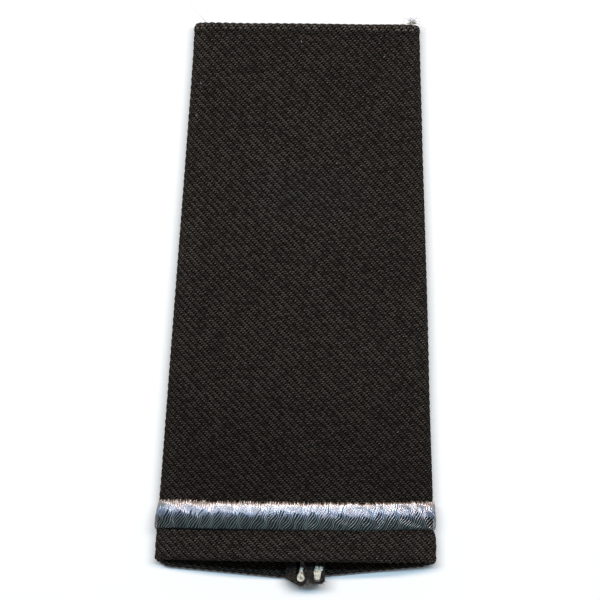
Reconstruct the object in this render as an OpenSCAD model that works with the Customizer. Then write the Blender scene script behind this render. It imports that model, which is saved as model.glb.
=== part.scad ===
// Slip-on shoulder board: a tapered sleeve of twill that slides over a shoulder strap, with one
// raised embroidered bar across its front. It lies on its back, front up: X across it, Y along it
// with the collar end at +Y, Z up. The origin is the middle of the underside of its box.

/* [Sleeve] */
// Length of the front, from hem to hem
front_l = 108; // [90:1:130]
// Width at the collar end
collar_end_w = 45; // [38:0.5:60]
// Width at the outer end, before its flare
outer_end_w = 55.9; // [45:0.1:72]
// How far each side of the outer end flares out past the straight taper
outer_flare = 0.3; // [0:0.05:1]
// Slope of both ends across the sleeve, in degrees
end_skew = 0.7; // [-2:0.1:2]
// How far the back's ends lie further out than the front's, in the middle
back_drop = 0.7; // [0:0.1:1.5]
// Turn of the back against the front, in degrees, with its left side further out
back_tilt = 1; // [-2:0.1:2]
// Thickness of one ply of the cloth
cloth_t = 1; // [0.8:0.05:1.3]
// How far the front is crowned above its side folds
crown_rise = 4.4; // [3.6:0.1:8]
// Inside radius that the innermost ply keeps in the side folds
fold_core_r = 0.3; // [0.2:0.05:1]

/* [Hems] */
// Depth of the cloth turned in at each end
hem_depth = 6; // [4.5:0.5:10]
// Air between the two plies of a hem
hem_gap = 0.15; // [0.1:0.05:0.3]

/* [Centre back seam] */
// Distance of the seam from the middle of the back, to the right
seam_shift = 2.8; // [-4:0.1:4]
// Clearance between the two edges that meet at the seam
seam_gap = 0.1; // [0.05:0.05:0.3]
// Height of the upturned seam allowances above the hem
allowance_h = 2.4; // [1.5:0.1:3]
// How far the folded ends of the allowances stand out past the outer hem
allowance_proud = 1.2; // [0.5:0.1:2]
// Thickness of the folded interlining in the left allowance
interlining_left_t = 1.6; // [1:0.1:2]
// Thickness of the folded interlining in the right allowance
interlining_right_t = 1.4; // [1:0.1:2]
// Clearance round a piece that lies against another
piece_gap = 0.1; // [0.05:0.05:0.2]

/* [Embroidered bar] */
// Width of the bar, along the sleeve
bar_w = 5.4; // [3:0.1:10]
// Distance from the outer end to the bar
bar_inset = 6.4; // [4:0.1:20]
// Height of the bar along its middle
bar_h = 0.8; // [0.5:0.05:1.5]
// Height of the bar along its two long edges
bar_edge_h = 0.2; // [0.1:0.05:0.4]
// Height of the bar where it goes round the side folds
bar_side_h = 0.3; // [0.2:0.05:0.6]
// How far the bar runs on under each side fold, in degrees
bar_wrap = 40; // [10:1:50]

/* [Hidden] */

TWILL = [0.15, 0.135, 0.125];
TWILL_TURNED_UP = [0.19, 0.17, 0.16];
INTERLINING = [0.86, 0.84, 0.77];
SILVER_THREAD = [0.56, 0.62, 0.7];

LEFT = -1;
RIGHT = 1;

// Sections along the front: share of the length from the collar end, share of the crown's rise
// and share of the outer end's flare
AT = 0;
RISE = 1;
FLARE = 2;
SECTIONS = [
    [0.00, 0.96, 0.0],
    [0.15, 0.97, 0.1],
    [0.45, 1.00, 0.35],
    [0.70, 1.02, 0.5],
    [0.88, 1.00, 0.7],
    [0.94, 0.99, 0.9],
    [1.00, 1.00, 1.0]
];

// Zones of one half of a section, from the seam to the middle of the front
BACK = 0;
FOLD = 1;
CROWN = 2;
BACK_STEPS = 3;
FOLD_STEPS = 8;
CROWN_STEPS = 8;
LENGTH_STEPS = 14;
NOSE_STEPS = 6;
BAR_STEPS = 8;

taper = atan((outer_end_w - collar_end_w) / 2 / front_l);
hem_t = 2 * cloth_t + hem_gap;
fold_r = hem_t + fold_core_r;
allowance_floor = hem_t + piece_gap;
allowance_top = allowance_floor + allowance_h;
bar_y = -front_l / 2 + bar_inset + bar_w / 2;

// Sizes of the section at y, measured from the middle of the front
function column(which) = [for (row = SECTIONS) [row[AT], row[which]]];
function share_at(y) = 0.5 - y / front_l;
function rise_at(y) = crown_rise * lookup(share_at(y), column(RISE));
function flare_at(y) = outer_flare * lookup(share_at(y), column(FLARE));
function half_w_at(y) =
    collar_end_w / 2 + (outer_end_w - collar_end_w) / 2 * share_at(y) + flare_at(y);
function fold_x_at(y) = half_w_at(y) - fold_r;
function crown_angle_at(y) = 2 * atan(rise_at(y) / fold_x_at(y));
function fold_turn_at(y) = 180 - crown_angle_at(y);
function crown_r_at(y) = fold_x_at(y) / sin(crown_angle_at(y)) + fold_r;
function crown_centre_at(y) = fold_r - (crown_r_at(y) - fold_r) * cos(crown_angle_at(y));

// A straight-cut panel that is folded along tapered sides turns its back downwards: its lines slip
// along the fold, and slope by twice the taper on the back. The back also lies a little further
// out than the front, which the folds take up: lowered goes from 0 on the front to 1 on the back.
function fold_slip(y, share) = fold_r * fold_turn_at(y) * (1 - share) * PI / 180 * sin(taper);
function back_slip(run) = run * tan(2 * taper);
function skewed(p, lowered = 0) = [
    p.x,
    p.y + p.x * tan(end_skew) - lowered * (back_drop - p.x * tan(back_tilt)),
    p.z
];

// A point of the cloth: side, zone, share of the zone from the seam towards the middle of the
// front, y of its line on the front, and depth inwards from the outer skin
function cloth_point(side, zone, share, y, depth) =
    zone == BACK ? back_point(side, share, y, depth)
    : zone == FOLD ? fold_point(side, share, y, depth)
    : crown_point(side, share, y, depth);
function back_point(side, share, y, depth) =
    let (run = (fold_x_at(y) - side * seam_shift - seam_gap / 2) * (1 - share))
    skewed([side * (fold_x_at(y) - run), y - fold_slip(y, 0) - back_slip(run), depth], 1);
function fold_point(side, share, y, depth) =
    let (angle = fold_turn_at(y) * share - 90, r = fold_r - depth)
    skewed([
        side * (fold_x_at(y) + r * cos(angle)),
        y - fold_slip(y, share),
        fold_r + r * sin(angle)
    ], pow(1 - share, 2));
function crown_point(side, share, y, depth) =
    let (angle = crown_angle_at(y) * (1 - share), r = crown_r_at(y) - depth)
    skewed([side * r * sin(angle), y, crown_centre_at(y) + r * cos(angle)]);

// Stations across the sleeve as [side, zone, share], from the left end round to the right end
function steps_of(zone, first, last, count) =
    [for (i = [0:count - 1]) [zone, first + (last - first) * i / count]];
function round_the_front(half) = concat(
    [for (station = half) [LEFT, station[0], station[1]]],
    [[RIGHT, CROWN, 1]],
    [for (i = [len(half) - 1:-1:0]) [RIGHT, half[i][0], half[i][1]]]
);
PANEL_STATIONS = round_the_front(concat(
    steps_of(BACK, 0, 1, BACK_STEPS),
    steps_of(FOLD, 0, 1, FOLD_STEPS),
    steps_of(CROWN, 0, 1, CROWN_STEPS)
));
BAR_STATIONS = round_the_front(concat(
    steps_of(FOLD, (90 - bar_wrap) / fold_turn_at(bar_y), 1, FOLD_STEPS),
    steps_of(CROWN, 0, 1, CROWN_STEPS)
));

// A solid through rings that hold one side of a wall forwards and its other side backwards
module wall_solid(rings) {
    ring_n = len(rings[0]);
    ring_count = len(rings);
    last = ring_n * (ring_count - 1);
    skin = [
        for (i = [0:ring_count - 2], j = [0:ring_n - 1])
            let (a = i * ring_n + j, b = i * ring_n + (j + 1) % ring_n)
            each [[a, b, b + ring_n], [a, b + ring_n, a + ring_n]]
    ];
    first_cap = [
        for (j = [0:ring_n / 2 - 2])
            each [[j, ring_n - 1 - j, ring_n - 2 - j], [j, ring_n - 2 - j, j + 1]]
    ];
    last_cap = [for (face = first_cap) [last + face[0], last + face[2], last + face[1]]];
    polyhedron([for (ring = rings) each ring], concat(skin, first_cap, last_cap));
}

// The panel's profile as [y, depth] pairs: the face of the cloth from the raw edge of one hem,
// round that end, along the outside and round the other end, then its wrong side back again
function nose(end, r) = [
    for (i = [0:NOSE_STEPS])
        let (angle = 90 - 180 * i / NOSE_STEPS)
        [end * (front_l / 2 - hem_t / 2 + r * cos(angle)), hem_t / 2 + r * sin(angle)]
];
function reversed(list) = [for (i = [len(list) - 1:-1:0]) list[i]];
function profile_side(nose_r, depth) = concat(
    [[front_l / 2 - hem_depth, hem_t - depth]],
    nose(1, nose_r),
    [
        for (i = [1:LENGTH_STEPS - 1])
            [(front_l - hem_t) * (0.5 - i / LENGTH_STEPS), depth]
    ],
    reversed(nose(-1, nose_r)),
    [[hem_depth - front_l / 2, hem_t - depth]]
);
PANEL_PROFILE = concat(profile_side(hem_t / 2, 0), reversed(profile_side(hem_gap / 2, cloth_t)));
PANEL_RINGS = [
    for (station = PANEL_STATIONS)
        [for (p = PANEL_PROFILE) cloth_point(station[0], station[1], station[2], p[0], p[1])]
];

// The bar's height above the cloth: crowned across its width, and lower round the side folds
function bar_rise(station, across) =
    let (
        full = station[1] == CROWN ? 1 : station[2],
        middle = bar_side_h + (bar_h - bar_side_h) * full
    )
    bar_edge_h + (middle - bar_edge_h) * sqrt(1 - across * across);
function bar_ring(station) =
    let (
        across = [for (i = [0:BAR_STEPS]) 2 * i / BAR_STEPS - 1],
        outer = [for (v = across) [v, piece_gap + bar_rise(station, v)]],
        inner = [for (v = reversed(across)) [v, piece_gap]]
    )
    [
        for (p = concat(outer, inner))
            cloth_point(station[0], station[1], station[2], bar_y - p[0] * bar_w / 2, -p[1])
    ];
BAR_RINGS = [for (station = BAR_STATIONS) bar_ring(station)];

// Ends of the seam on the back, and the tip of each allowance's folded end
function seam_end(side, y) = cloth_point(side, BACK, 0, y, 0).y;
function allowance_tip(side) = seam_end(side, -front_l / 2) - allowance_proud;
function interlining_t(side) = side == LEFT ? interlining_left_t : interlining_right_t;
function slot_w(side) = interlining_t(side) + 2 * piece_gap;
function outer_nose_y(side) = allowance_tip(side) + cloth_t + slot_w(side) / 2;
function collar_nose_y(side) = seam_end(side, front_l / 2) - hem_t / 2;

// The middle of the whole board's box, along Y
all_y = [
    for (ring = concat(PANEL_RINGS, BAR_RINGS), p = ring) p.y,
    allowance_tip(LEFT),
    allowance_tip(RIGHT)
];
mid_y = (min(all_y) + max(all_y)) / 2;

module placed() {
    translate([0, -mid_y, 0]) children();
}

// Plan of an allowance as [distance from the seam, y] pairs: a strip that stands along the seam,
// and is turned back on itself at both ends. Its face is the side that lies against the seam.
function turn(end, y, slot, inset) = [
    for (i = [0:NOSE_STEPS])
        let (angle = 180 * i / NOSE_STEPS, r = cloth_t + slot / 2 - inset)
        [cloth_t + slot / 2 + r * cos(angle), y + end * r * sin(angle)]
];
function strip_side(side, inset) = concat(
    [[2 * cloth_t + hem_gap - inset, collar_nose_y(side) - hem_depth]],
    turn(1, collar_nose_y(side), hem_gap, inset),
    reversed(turn(-1, outer_nose_y(side), slot_w(side), inset)),
    [[2 * cloth_t + slot_w(side) - inset, outer_nose_y(side) + hem_depth]]
);

// Everything that stands beside the seam, drawn to the right of the seam's plane
module beside_seam(side) {
    placed()
        translate([seam_shift, 0, 0])
            mirror([side == LEFT ? 1 : 0, 0, 0])
                translate([seam_gap / 2, 0, 0])
                    children();
}

// Between the hems, where the back is a single ply, the allowance reaches down to that ply
module seam_allowance(side) {
    slope = 2 * taper + abs(end_skew) + abs(back_tilt);
    slope_clearance = piece_gap + cloth_t * tan(slope);
    first_y = seam_end(side, hem_depth - front_l / 2) + slope_clearance;
    last_y = seam_end(side, front_l / 2 - hem_depth) - slope_clearance;
    single_ply = cloth_t + piece_gap;
    beside_seam(side) {
        translate([0, 0, allowance_floor])
            linear_extrude(allowance_h)
                polygon(concat(strip_side(side, 0), reversed(strip_side(side, cloth_t))));
        translate([0, first_y, single_ply])
            cube([cloth_t, last_y - first_y, allowance_top - single_ply]);
    }
}

module interlining(side) {
    t = interlining_t(side);
    color(INTERLINING)
        beside_seam(side)
            translate([cloth_t + slot_w(side) / 2, outer_nose_y(side), allowance_floor])
                linear_extrude(allowance_h) {
                    circle(t / 2, $fn = 48);
                    translate([-t / 2, 0]) square([t, hem_depth]);
                }
}

module sleeve_panel() {
    color(TWILL) placed() wall_solid(PANEL_RINGS);
}

module seam_allowance_left() {
    color(TWILL_TURNED_UP) seam_allowance(LEFT);
}

module seam_allowance_right() {
    color(TWILL_TURNED_UP) seam_allowance(RIGHT);
}

module interlining_left() {
    interlining(LEFT);
}

module interlining_right() {
    interlining(RIGHT);
}

module embroidered_bar() {
    color(SILVER_THREAD) placed() wall_solid(BAR_RINGS);
}

sleeve_panel();
seam_allowance_left();
seam_allowance_right();
interlining_left();
interlining_right();
embroidered_bar();
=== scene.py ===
"""Looks of the slip-on shoulder board: its twill sleeve, turned-up seam, folded interlining,
embroidered bar, stitches and loose fibres, lying on a pale floor under a scanner's flat light."""

import math

import bmesh
import bpy
import numpy as np
from mathutils import Matrix, Vector


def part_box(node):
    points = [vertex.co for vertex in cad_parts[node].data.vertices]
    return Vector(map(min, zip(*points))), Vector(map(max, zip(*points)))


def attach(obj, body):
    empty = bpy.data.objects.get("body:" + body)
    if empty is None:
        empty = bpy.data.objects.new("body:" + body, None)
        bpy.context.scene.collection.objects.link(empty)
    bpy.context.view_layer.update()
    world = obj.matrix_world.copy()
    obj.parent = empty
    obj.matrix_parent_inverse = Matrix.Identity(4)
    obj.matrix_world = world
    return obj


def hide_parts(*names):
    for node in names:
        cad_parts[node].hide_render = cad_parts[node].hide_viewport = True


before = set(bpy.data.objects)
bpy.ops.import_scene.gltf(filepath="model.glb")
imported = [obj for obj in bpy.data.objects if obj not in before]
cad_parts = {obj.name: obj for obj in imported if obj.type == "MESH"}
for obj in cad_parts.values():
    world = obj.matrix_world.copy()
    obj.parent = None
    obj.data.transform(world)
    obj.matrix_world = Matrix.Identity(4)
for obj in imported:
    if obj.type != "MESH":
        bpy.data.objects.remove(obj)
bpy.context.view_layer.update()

MM = 0.001
LEFT = -1
RIGHT = 1

# Sizes repeated from the part's source, in metres
FRONT_L = 108 * MM
COLLAR_END_W = 45 * MM
OUTER_END_W = 55.9 * MM
OUTER_FLARE = 0.3 * MM
END_SKEW = math.tan(math.radians(0.7))
BACK_DROP = 0.7 * MM
BACK_TILT = math.tan(math.radians(1))
CLOTH_T = 1 * MM
CROWN_RISE = 4.4 * MM
FOLD_CORE_R = 0.3 * MM
HEM_DEPTH = 6 * MM
HEM_GAP = 0.15 * MM
SEAM_SHIFT = 2.8 * MM
SEAM_GAP = 0.1 * MM
ALLOWANCE_H = 2.4 * MM
ALLOWANCE_PROUD = 1.2 * MM
INTERLINING_T = {LEFT: 1.6 * MM, RIGHT: 1.4 * MM}
PIECE_GAP = 0.1 * MM
BAR_W = 5.4 * MM
BAR_INSET = 6.4 * MM
BAR_WRAP = math.radians(40)

# Share of the length from the collar end, share of the crown's rise, share of the flare
SECTIONS = np.array(
    [
        (0.00, 0.96, 0.0),
        (0.15, 0.97, 0.1),
        (0.45, 1.00, 0.35),
        (0.70, 1.02, 0.5),
        (0.88, 1.00, 0.7),
        (0.94, 0.99, 0.9),
        (1.00, 1.00, 1.0),
    ]
)
RISE = 1
FLARE = 2

TAPER = math.atan((OUTER_END_W - COLLAR_END_W) / 2 / FRONT_L)
HEM_T = 2 * CLOTH_T + HEM_GAP
NOSE_R = HEM_T / 2
FOLD_R = HEM_T + FOLD_CORE_R
ALLOWANCE_FLOOR = HEM_T + PIECE_GAP
BAR_Y = -FRONT_L / 2 + BAR_INSET + BAR_W / 2

# The cut of the cloth, measured from the middle of the front
APEX_V = FRONT_L / 2 - NOSE_R + NOSE_R * math.pi / 2
RAW_V = FRONT_L / 2 - NOSE_R + NOSE_R * math.pi + HEM_DEPTH - NOSE_R
STITCH_V = FRONT_L / 2 - 1.9 * MM
# The hem's stitches go through to its turned-in ply
STITCH_ROWS = (STITCH_V, 2 * APEX_V - STITCH_V)

# The weave: a 2/2 twill whose ribs run down to the right
YARN = 0.384 * MM
RIB = 4 * YARN / math.sqrt(2)
RIB_CREST = 2 * YARN / math.sqrt(2)
RIB_DEPTH = 0.1 * MM
RIB_LINES = 4
RIB_STEP = 1.25 * MM
RIB_ROUNDNESS = 0.7

# The collar end's pressed fold is squarer than a half circle
NOSE_POWER = 0.6
# The side folds take up the back's drop, and later nearer the collar end
DROP_Y = (-20 * MM, 20 * MM)
DROP_POWER = (2, 4)


def lookup(y, column):
    return np.interp(0.5 - y / FRONT_L, SECTIONS[:, 0], SECTIONS[:, column])


class Section:
    """Sizes of the sleeve's cross-section at each of the given places along the front."""

    def __init__(self, y):
        share = 0.5 - y / FRONT_L
        half_w = COLLAR_END_W / 2 + (OUTER_END_W - COLLAR_END_W) / 2 * share
        half_w = half_w + OUTER_FLARE * lookup(y, FLARE)
        self.y = y
        self.fold_x = half_w - FOLD_R
        self.crown_angle = 2 * np.arctan(CROWN_RISE * lookup(y, RISE) / self.fold_x)
        self.fold_turn = math.pi - self.crown_angle
        self.crown_r = self.fold_x / np.sin(self.crown_angle) + FOLD_R
        self.crown_centre = FOLD_R - (self.crown_r - FOLD_R) * np.cos(self.crown_angle)
        self.crown_arc = self.crown_r * self.crown_angle
        self.fold_arc = FOLD_R * self.fold_turn

    def back_run(self, side):
        return self.fold_x - side * SEAM_SHIFT - SEAM_GAP / 2

    def seam_c(self, side):
        """How far across the flat cloth its edge at the seam is."""
        return self.crown_arc + self.fold_arc + self.back_run(side)

    def slip(self, share):
        return FOLD_R * self.fold_turn * share * math.sin(TAPER)


def cut_edge(v, side):
    """The straight-cut side of the flat cloth, zone by zone between its hem folds."""
    end_y = FRONT_L / 2
    hem_y = end_y - HEM_DEPTH
    knots_v = np.array([-RAW_V, -APEX_V, APEX_V, RAW_V])
    knots_y = np.array([-hem_y, -end_y, end_y, hem_y])
    return np.interp(v, knots_v, Section(knots_y).seam_c(side))


def skewed(x, y, lowered):
    """Both ends slope, and the back, where lowered is 1, lies a little further out."""
    return y + x * END_SKEW - lowered * (BACK_DROP - np.minimum(x, 0) * BACK_TILT)


def worn(c, v, layer, shift_y=0.0):
    """Where a point of the flat cloth lies on the finished sleeve: c across from the middle of
    the front, v along it, layer in from its face."""
    past = np.abs(v) - (FRONT_L / 2 - NOSE_R)
    turn = np.clip(past / NOSE_R, 0, math.pi)
    after = np.maximum(past - math.pi * NOSE_R, 0)
    straight = FRONT_L / 2 - NOSE_R + np.minimum(past, 0) - after
    power = np.where(v > 0, NOSE_POWER, 1)
    reach = np.abs(np.sin(turn)) ** power
    level = np.sign(np.cos(turn)) * np.abs(np.cos(turn)) ** power
    y = np.sign(v) * (straight + (NOSE_R - layer) * reach)
    depth = NOSE_R - (NOSE_R - layer) * level
    section = Section(y)
    side = np.where(c < 0, LEFT, RIGHT)
    across = np.abs(c)

    angle = np.minimum(across / section.crown_r, section.crown_angle)
    r = section.crown_r - depth
    crown = (r * np.sin(angle), y, section.crown_centre + r * np.cos(angle))

    past_crown = np.clip((across - section.crown_arc) / section.fold_arc, 0, 1)
    angle = section.fold_turn * (1 - past_crown) - math.pi / 2
    r = FOLD_R - depth
    fold = (
        section.fold_x + r * np.cos(angle),
        y - section.slip(past_crown),
        FOLD_R + r * np.sin(angle),
    )

    edge = np.where(side == LEFT, cut_edge(v, LEFT), cut_edge(v, RIGHT))
    past_fold = across - section.crown_arc - section.fold_arc
    room = edge - section.crown_arc - section.fold_arc
    run = section.back_run(side) * np.clip(past_fold / room, 0, 1)
    back = (
        section.fold_x - run,
        y - section.slip(1) - run * math.tan(2 * TAPER),
        depth,
    )

    on_fold = (across > section.crown_arc) & (past_fold < 0)
    x, y, z = np.where(on_fold, fold, np.where(past_fold < 0, crown, back))
    x = side * x
    y = skewed(x, y, past_crown ** np.interp(y, DROP_Y, DROP_POWER))
    return np.stack([x, y + shift_y, z], axis=-1)


def seam_y(side, y):
    """Where the seam's edge of the back ends up, for a line at y on the front."""
    section = Section(np.array([y]))
    run = section.back_run(side)
    x = side * (section.fold_x - run)
    return skewed(x, y - section.slip(1) - run * math.tan(2 * TAPER), 1)[0]


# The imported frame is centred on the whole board, so the front's middle isn't at y = 0
collar_c = np.linspace(-30, 30, 601) * MM
collar_edge = worn(collar_c, np.full_like(collar_c, APEX_V), np.zeros_like(collar_c))
MIDDLE_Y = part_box("sleeve_panel")[1][1] - collar_edge[:, 1].max()


def on_board(c, v, layer):
    return worn(np.asarray(c, float), np.asarray(v, float), np.asarray(layer, float), MIDDLE_Y)


def rib_wave(c, v):
    """0 in the groove between two ribs of the twill, 1 on a rib's crest."""
    phase = ((c + v) / math.sqrt(2) - RIB_CREST) / RIB
    return (0.5 + 0.5 * np.cos(2 * math.pi * phase)) ** RIB_ROUNDNESS


def ripple(a, b, waves):
    """A gentle unevenness from a few slanted waves, each given as (a rate, b rate, phase, size)."""
    return sum(
        size * np.sin(rate_a * a + rate_b * b + phase) for rate_a, rate_b, phase, size in waves
    )


def new_piece(name, mesh, materials):
    piece = bpy.data.objects.new(name, mesh)
    bpy.context.scene.collection.objects.link(piece)
    for material in materials:
        mesh.materials.append(material)
    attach(piece, "root")
    return piece


def move_vertices(mesh, place):
    """Moves every vertex of a flat-cut mesh to the place that a function gives for it."""
    flat = np.empty(len(mesh.vertices) * 3)
    mesh.vertices.foreach_get("co", flat)
    flat = flat.reshape(-1, 3)
    mesh.vertices.foreach_set("co", place(flat).ravel())
    mesh.update()


# Vertices closer than this are one, and a cut plane takes those within the finer one
SAME_PLACE = 1e-7
ON_PLANE = 1e-8
SHARP_ANGLE = 1


def cut_cloth(name, zones, lines=(), thickness=CLOTH_T, ribbed=True, step=RIB_STEP, across=None):
    """A flat slab of cloth, its face at z = 0 and its UV map the flat cut itself. zones are (first
    v, last v, low edge at both, high edge at both), and lines are values of v that get a row of
    their own. The grid of ribbed cloth runs along its ribs, in cells step long and across wide."""
    low = min(min(zone[2]) for zone in zones)
    high = max(max(zone[3]) for zone in zones)
    first, last = zones[0][0], zones[-1][1]
    middle = Vector(((low + high) / 2, (first + last) / 2, 0))
    reach = ((high - low) + (last - first)) / 2 / math.sqrt(2) + 2 * RIB
    fine = across or RIB / RIB_LINES
    fine_n = 2 * math.ceil(reach / fine)
    step_n = 2 * math.ceil(reach / step)
    # The fine lines run along the ribs, and the first of every RIB_LINES is on a crest
    diagonal = (middle.x + middle.y) / math.sqrt(2)
    crest = RIB_CREST + round((diagonal - RIB_CREST) / RIB) * RIB
    centre = middle + Vector((1, 1, 0)) * (crest - diagonal) / math.sqrt(2)
    turn = math.pi / 4 if ribbed else 0
    bm = bmesh.new()
    bmesh.ops.create_grid(
        bm,
        x_segments=fine_n,
        y_segments=step_n,
        size=1,
        matrix=Matrix.Translation(centre)
        @ Matrix.Rotation(turn, 4, "Z")
        @ Matrix.Diagonal((fine * fine_n / 2, step * step_n / 2, 1, 1)),
    )

    def everything():
        return bm.verts[:] + bm.edges[:] + bm.faces[:]

    def between(a, b):
        faces = [f for f in bm.faces if a < f.calc_center_median().y < b]
        edges = {e for f in faces for e in f.edges}
        verts = {v for f in faces for v in f.verts}
        return list(verts) + list(edges) + faces

    def cut(geom, point, normal, clear=False):
        return bmesh.ops.bisect_plane(
            bm, geom=geom, dist=ON_PLANE, plane_co=point, plane_no=normal, clear_outer=clear
        )

    cut(everything(), (0, first, 0), (0, -1, 0), True)
    cut(everything(), (0, last, 0), (0, 1, 0), True)
    for v in lines:
        cut(between(v - step, v + step), (0, v, 0), (0, 1, 0))
    for zone in zones[:-1]:
        border = cut(everything(), (0, zone[1], 0), (0, 1, 0))["geom_cut"]
        bmesh.ops.split_edges(bm, edges=[e for e in border if isinstance(e, bmesh.types.BMEdge)])
    for v0, v1, lows, highs in zones:
        for ends, outward in ((lows, -1), (highs, 1)):
            side = Vector((ends[1] - ends[0], v1 - v0, 0))
            normal = Vector((side.y, -side.x, 0)) * outward
            cut(between(v0, v1), (ends[0], v0, 0), normal, True)
    bmesh.ops.remove_doubles(bm, verts=bm.verts, dist=SAME_PLACE)

    face_of_cloth = bm.faces[:]
    bmesh.ops.recalc_face_normals(bm, faces=face_of_cloth)
    if face_of_cloth[0].normal.z < 0:
        bmesh.ops.reverse_faces(bm, faces=face_of_cloth)
    bmesh.ops.solidify(bm, geom=face_of_cloth, thickness=thickness)
    top = max(v.co.z for v in bm.verts)
    bmesh.ops.translate(bm, verts=bm.verts, vec=(0, 0, -top))

    # The wrong side needs no line for each rib
    wrong = {f for f in bm.faces if f.calc_center_median().z < -0.9 * thickness}
    if ribbed:
        spare = []
        for e in bm.edges:
            if len(e.link_faces) < 2 or not all(f in wrong for f in e.link_faces):
                continue
            a, b = (v.co for v in e.verts)
            at_a, at_b = ((p.x + p.y) / math.sqrt(2) - crest for p in (a, b))
            on_line = round(at_a / fine)
            if abs(at_a - at_b) < SAME_PLACE and on_line % RIB_LINES:
                spare.append(e)
        bmesh.ops.dissolve_edges(bm, edges=spare, use_verts=True)

    for e in bm.edges:
        if e.calc_face_angle(0) > SHARP_ANGLE:
            e.smooth = False
    bm.normal_update()
    for f in bm.faces:
        f.smooth = True
        if ribbed and abs(f.normal.z) < 0.5:
            f.material_index = 1
    uv = bm.loops.layers.uv.new("cut")
    for f in bm.faces:
        for loop in f.loops:
            loop[uv].uv = loop.vert.co.xy
    mesh = bpy.data.meshes.new(name)
    bm.to_mesh(mesh)
    bm.free()
    return mesh


def tubes(name, paths, radius, sides=6):
    """One mesh of round strands, from a path of (x, y, z, thickness share) for each."""
    curve = bpy.data.curves.new(name, "CURVE")
    curve.dimensions = "3D"
    curve.bevel_depth = radius
    curve.bevel_resolution = (sides - 4) // 2
    curve.use_fill_caps = True
    for path in paths:
        spline = curve.splines.new("POLY")
        spline.points.add(len(path) - 1)
        points = np.column_stack([path[:, :3], np.ones(len(path))])
        spline.points.foreach_set("co", points.ravel())
        spline.points.foreach_set("radius", path[:, 3].copy())
        spline.use_smooth = True
    maker = bpy.data.objects.new(name, curve)
    bpy.context.scene.collection.objects.link(maker)
    mesh = bpy.data.meshes.new_from_object(maker)
    mesh.name = name
    bpy.data.objects.remove(maker)
    bpy.data.curves.remove(curve)
    return mesh


# Finishes


class Finish:
    """One material and its nodes, joined to its shader by name."""

    def __init__(self, name, **shader):
        self.material = bpy.data.materials.new(name)
        self.material.use_nodes = True
        self.tree = self.material.node_tree
        self.shader = self.tree.nodes["Principled BSDF"]
        for socket, value in shader.items():
            self.shader.inputs[socket.replace("_", " ")].default_value = value

    def node(self, kind, settings=None, **inputs):
        made = self.tree.nodes.new("ShaderNode" + kind)
        for key, value in (settings or {}).items():
            setattr(made, key, value)
        for key, value in inputs.items():
            self.join(value, made.inputs[key.replace("_", " ")])
        return made

    def join(self, value, socket):
        if isinstance(value, bpy.types.NodeSocket):
            self.tree.links.new(value, socket)
        else:
            socket.default_value = value

    def math(self, operation, *values):
        made = self.tree.nodes.new("ShaderNodeMath")
        made.operation = operation
        for value, socket in zip(values, made.inputs):
            self.join(value, socket)
        return made.outputs[0]

    def mix(self, share, a, b):
        """Goes from value or colour a to b as share goes from 0 to 1."""
        made = self.tree.nodes.new("ShaderNodeMix")
        colours = any(isinstance(x, tuple) or getattr(x, "type", "") == "RGBA" for x in (a, b))
        made.data_type = "RGBA" if colours else "FLOAT"
        enabled = [socket for socket in made.inputs if socket.enabled]
        for value, socket in zip((share, a, b), enabled):
            self.join(value, socket)
        return next(socket for socket in made.outputs if socket.enabled)

    def spread(self, value, low, high, to_low=0.0, to_high=1.0):
        """Goes smoothly from to_low to to_high as value goes from low to high."""
        made = self.node("MapRange", None, Value=value)
        made.interpolation_type = "SMOOTHSTEP"
        for key, number in (
            ("From Min", low),
            ("From Max", high),
            ("To Min", to_low),
            ("To Max", to_high),
        ):
            made.inputs[key].default_value = number
        return made.outputs["Result"]

    def noise(self, coordinate, scale, detail=2.0):
        made = self.node("TexNoise", None, Vector=coordinate, Scale=scale, Detail=detail)
        return made.outputs["Fac"]

    def colour(self, value):
        self.join(value, self.shader.inputs["Base Color"])

    def rough(self, value):
        self.join(value, self.shader.inputs["Roughness"])

    def bump(self, height, distance):
        made = self.node("Bump", None, Height=height, Distance=distance)
        self.join(made.outputs["Normal"], self.shader.inputs["Normal"])


TWILL_DARK = (0.0008, 0.0006, 0.0006, 1)
TWILL_REDDISH = (0.131, 0.102, 0.086, 1)
TWILL_GREENISH = (0.121, 0.108, 0.091, 1)
TWILL_FLECK = (0.20, 0.18, 0.15, 1)
FLECK_SHARE = 0.0003

# Spots in each repeat of four yarns: place along the row, place off its middle, half width and
# half height, all in yarns, and slant
CREST_SPOT = (0.5, 0.0, 0.58, 0.5, 0.74)
BESIDE_SPOT = (2.09, 0.17, 1.07, 0.66, 0.0)
HOLE_SPOT = (3.52, 0.0, 0.45, 0.7, 0.1)
# How light the ground between them is, and each kind of spot: at least, and by how much more. The
# crests and the spots beside them carry painted highlight, the holes painted shade
GROUND_LIGHT = 0.035
CREST_PAINTED_HIGHLIGHT = (0.20, 0.74)
BESIDE_PAINTED_LIGHT = (0.115, 0.37)
HOLE_SHADE = 0.8
FIBRE_LIGHT = (0.2, 1.6)
PATCH_LIGHT = (0.93, 1.07)
YARN_WANDER = 0.5

# Half the front's width in the middle, and how it changes along Y
FRONT_HALF_W = 25.2 * MM
FRONT_HALF_W_SLOPE = -0.0505

SMUDGE = (0.020, 0.024, 0.036, 1)
SMUDGE_AT = (0.5 * MM, 22.5 * MM, 10 * MM)
SMUDGE_SIZE = (16 * MM, 7 * MM, 20 * MM)
SMUDGE_SHARE = (0.05, 0.34)


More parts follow.
